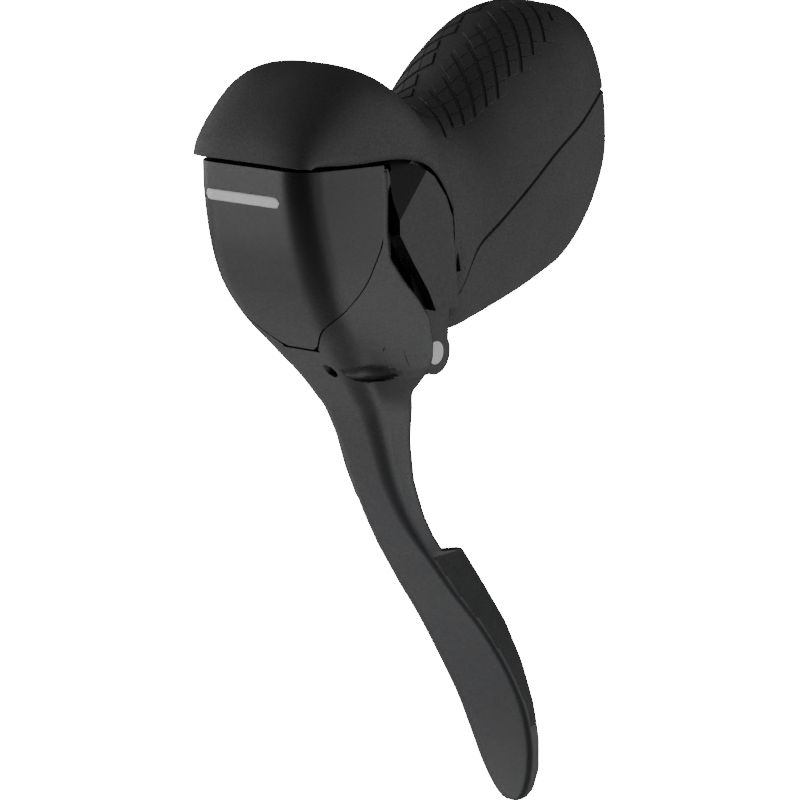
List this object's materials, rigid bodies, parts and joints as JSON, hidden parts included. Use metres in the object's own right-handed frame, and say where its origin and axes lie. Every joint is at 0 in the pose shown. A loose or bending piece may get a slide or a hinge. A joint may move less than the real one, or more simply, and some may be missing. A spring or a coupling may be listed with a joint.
{
  "type": "brake shift lever",
  "caption": "Left-hand drop-bar bicycle brake and shift lever with a rubber hood, bar clamp, pivoting brake blade and two shift paddles behind it.",
  "frame": {"origin": "centre of the bar clamp, on the clamped bar's axis", "axes": "+Z along the clamped bar, up; -Y forward along the hood; +X towards the rider's outer (left) side"},
  "size_m": [0.0387, 0.1046, 0.168],
  "materials": {
    "hood_rubber": "matte fine-grained",
    "bracket_resin": "satin",
    "blade_alloy": "satin dark grey",
    "nameplate_plastic": "satin, fine texture",
    "steel": "plated",
    "black_steel": "black oxide",
    "bushing_brass": "sintered",
    "spool_resin": "moulded",
    "spring_steel": "bright wire",
    "paddle_resin": "satin",
    "ferrule_alloy": "satin"
  },
  "bodies": {
    "bracket": {"bracket_body": "bracket_resin", "hood": "hood_rubber", "clamp_band": "steel", "clamp_anchor_plate": "black_steel", "clamp_bolt": "black_steel", "brake_axle": "steel", "reach_stop_tab": "steel", "brake_housing_ferrule": "ferrule_alloy", "gear_housing_ferrule": "ferrule_alloy"},
    "brake_lever": {"brake_lever_blade": "blade_alloy", "nameplate": "nameplate_plastic", "nameplate_screws": "black_steel", "bushing_outer": "bushing_brass", "bushing_inner": "bushing_brass", "brake_return_spring": "spring_steel", "shift_spindle": "steel", "spindle_nut": "black_steel", "shift_front_plate": "steel", "shift_plate_screws": "black_steel", "spindle_spacer": "steel", "spindle_clip": "black_steel", "spool_return_spring": "spring_steel", "paddle_return_spring": "spring_steel", "release_return_spring": "spring_steel", "holding_pawl_pin": "steel", "holding_pawl_spring": "spring_steel"},
    "reach_screw": {"reach_adjust_screw": "black_steel"},
    "cable_anchor": {"brake_cable_anchor": "bushing_brass"},
    "spool": {"cable_spool": "spool_resin", "ratchet_wheel": "steel"},
    "holding_pawl": {"holding_pawl": "steel"},
    "shift_paddle": {"shift_paddle": "paddle_resin", "drive_sleeve": "steel", "pawl_carrier": "steel", "pull_pawl_pin": "steel"},
    "pull_pawl": {"pull_pawl": "steel"},
    "release_paddle": {"release_paddle": "paddle_resin", "release_rod": "steel"}
  },
  "joints": [
    {"name": "brake_pull", "type": "hinge", "parent": "bracket", "child": "brake_lever", "pos_m": [0, -0.0475, -0.0365], "axis": [1, 0, 0], "range_deg": [0, 22], "stiffness_Nm_per_rad": 0.35, "springref_deg": -28.65},
    {"name": "anchor_turn", "type": "hinge", "parent": "brake_lever", "child": "cable_anchor", "pos_m": [0.006, -0.0465, -0.016], "axis": [1, 0, 0], "range_deg": [-22, 0]},
    {"name": "reach_turn", "type": "hinge", "parent": "brake_lever", "child": "reach_screw", "pos_m": [0.004, -0.0662, -0.038], "axis": [0, 0.6392, 0.769], "range_deg": [-180, 180]},
    {"name": "spool_index", "type": "hinge", "parent": "brake_lever", "child": "spool", "pos_m": [0, -0.07, -0.01], "axis": [0, 1, 0], "range_deg": [0, 45]},
    {"name": "shift_push", "type": "hinge", "parent": "brake_lever", "child": "shift_paddle", "pos_m": [0, -0.07, -0.01], "axis": [0, 1, 0], "range_deg": [0, 20], "stiffness_Nm_per_rad": 0.05, "springref_deg": -17.19},
    {"name": "pull_pawl_lift", "type": "hinge", "parent": "shift_paddle", "child": "pull_pawl", "pos_m": [-0.0088, -0.0694, -0.013], "axis": [0, 1, 0], "range_deg": [-8, 0], "stiffness_Nm_per_rad": 0.001, "springref_deg": 11.46},
    {"name": "release_push", "type": "hinge", "parent": "brake_lever", "child": "release_paddle", "pos_m": [0, -0.07, -0.01], "axis": [0, 1, 0], "range_deg": [0, 12], "stiffness_Nm_per_rad": 0.04, "springref_deg": -17.19},
    {"name": "holding_pawl_lift", "type": "hinge", "parent": "brake_lever", "child": "holding_pawl", "pos_m": [0.0084, -0.0694, -0.0166], "axis": [0, 1, 0], "range_deg": [0, 3]}
  ],
  "couplings": [
    {"joint": "anchor_turn", "follows": "brake_pull", "ratio": -1},
    {"joint": "holding_pawl_lift", "follows": "release_push", "ratio": 0.25}
  ]
}
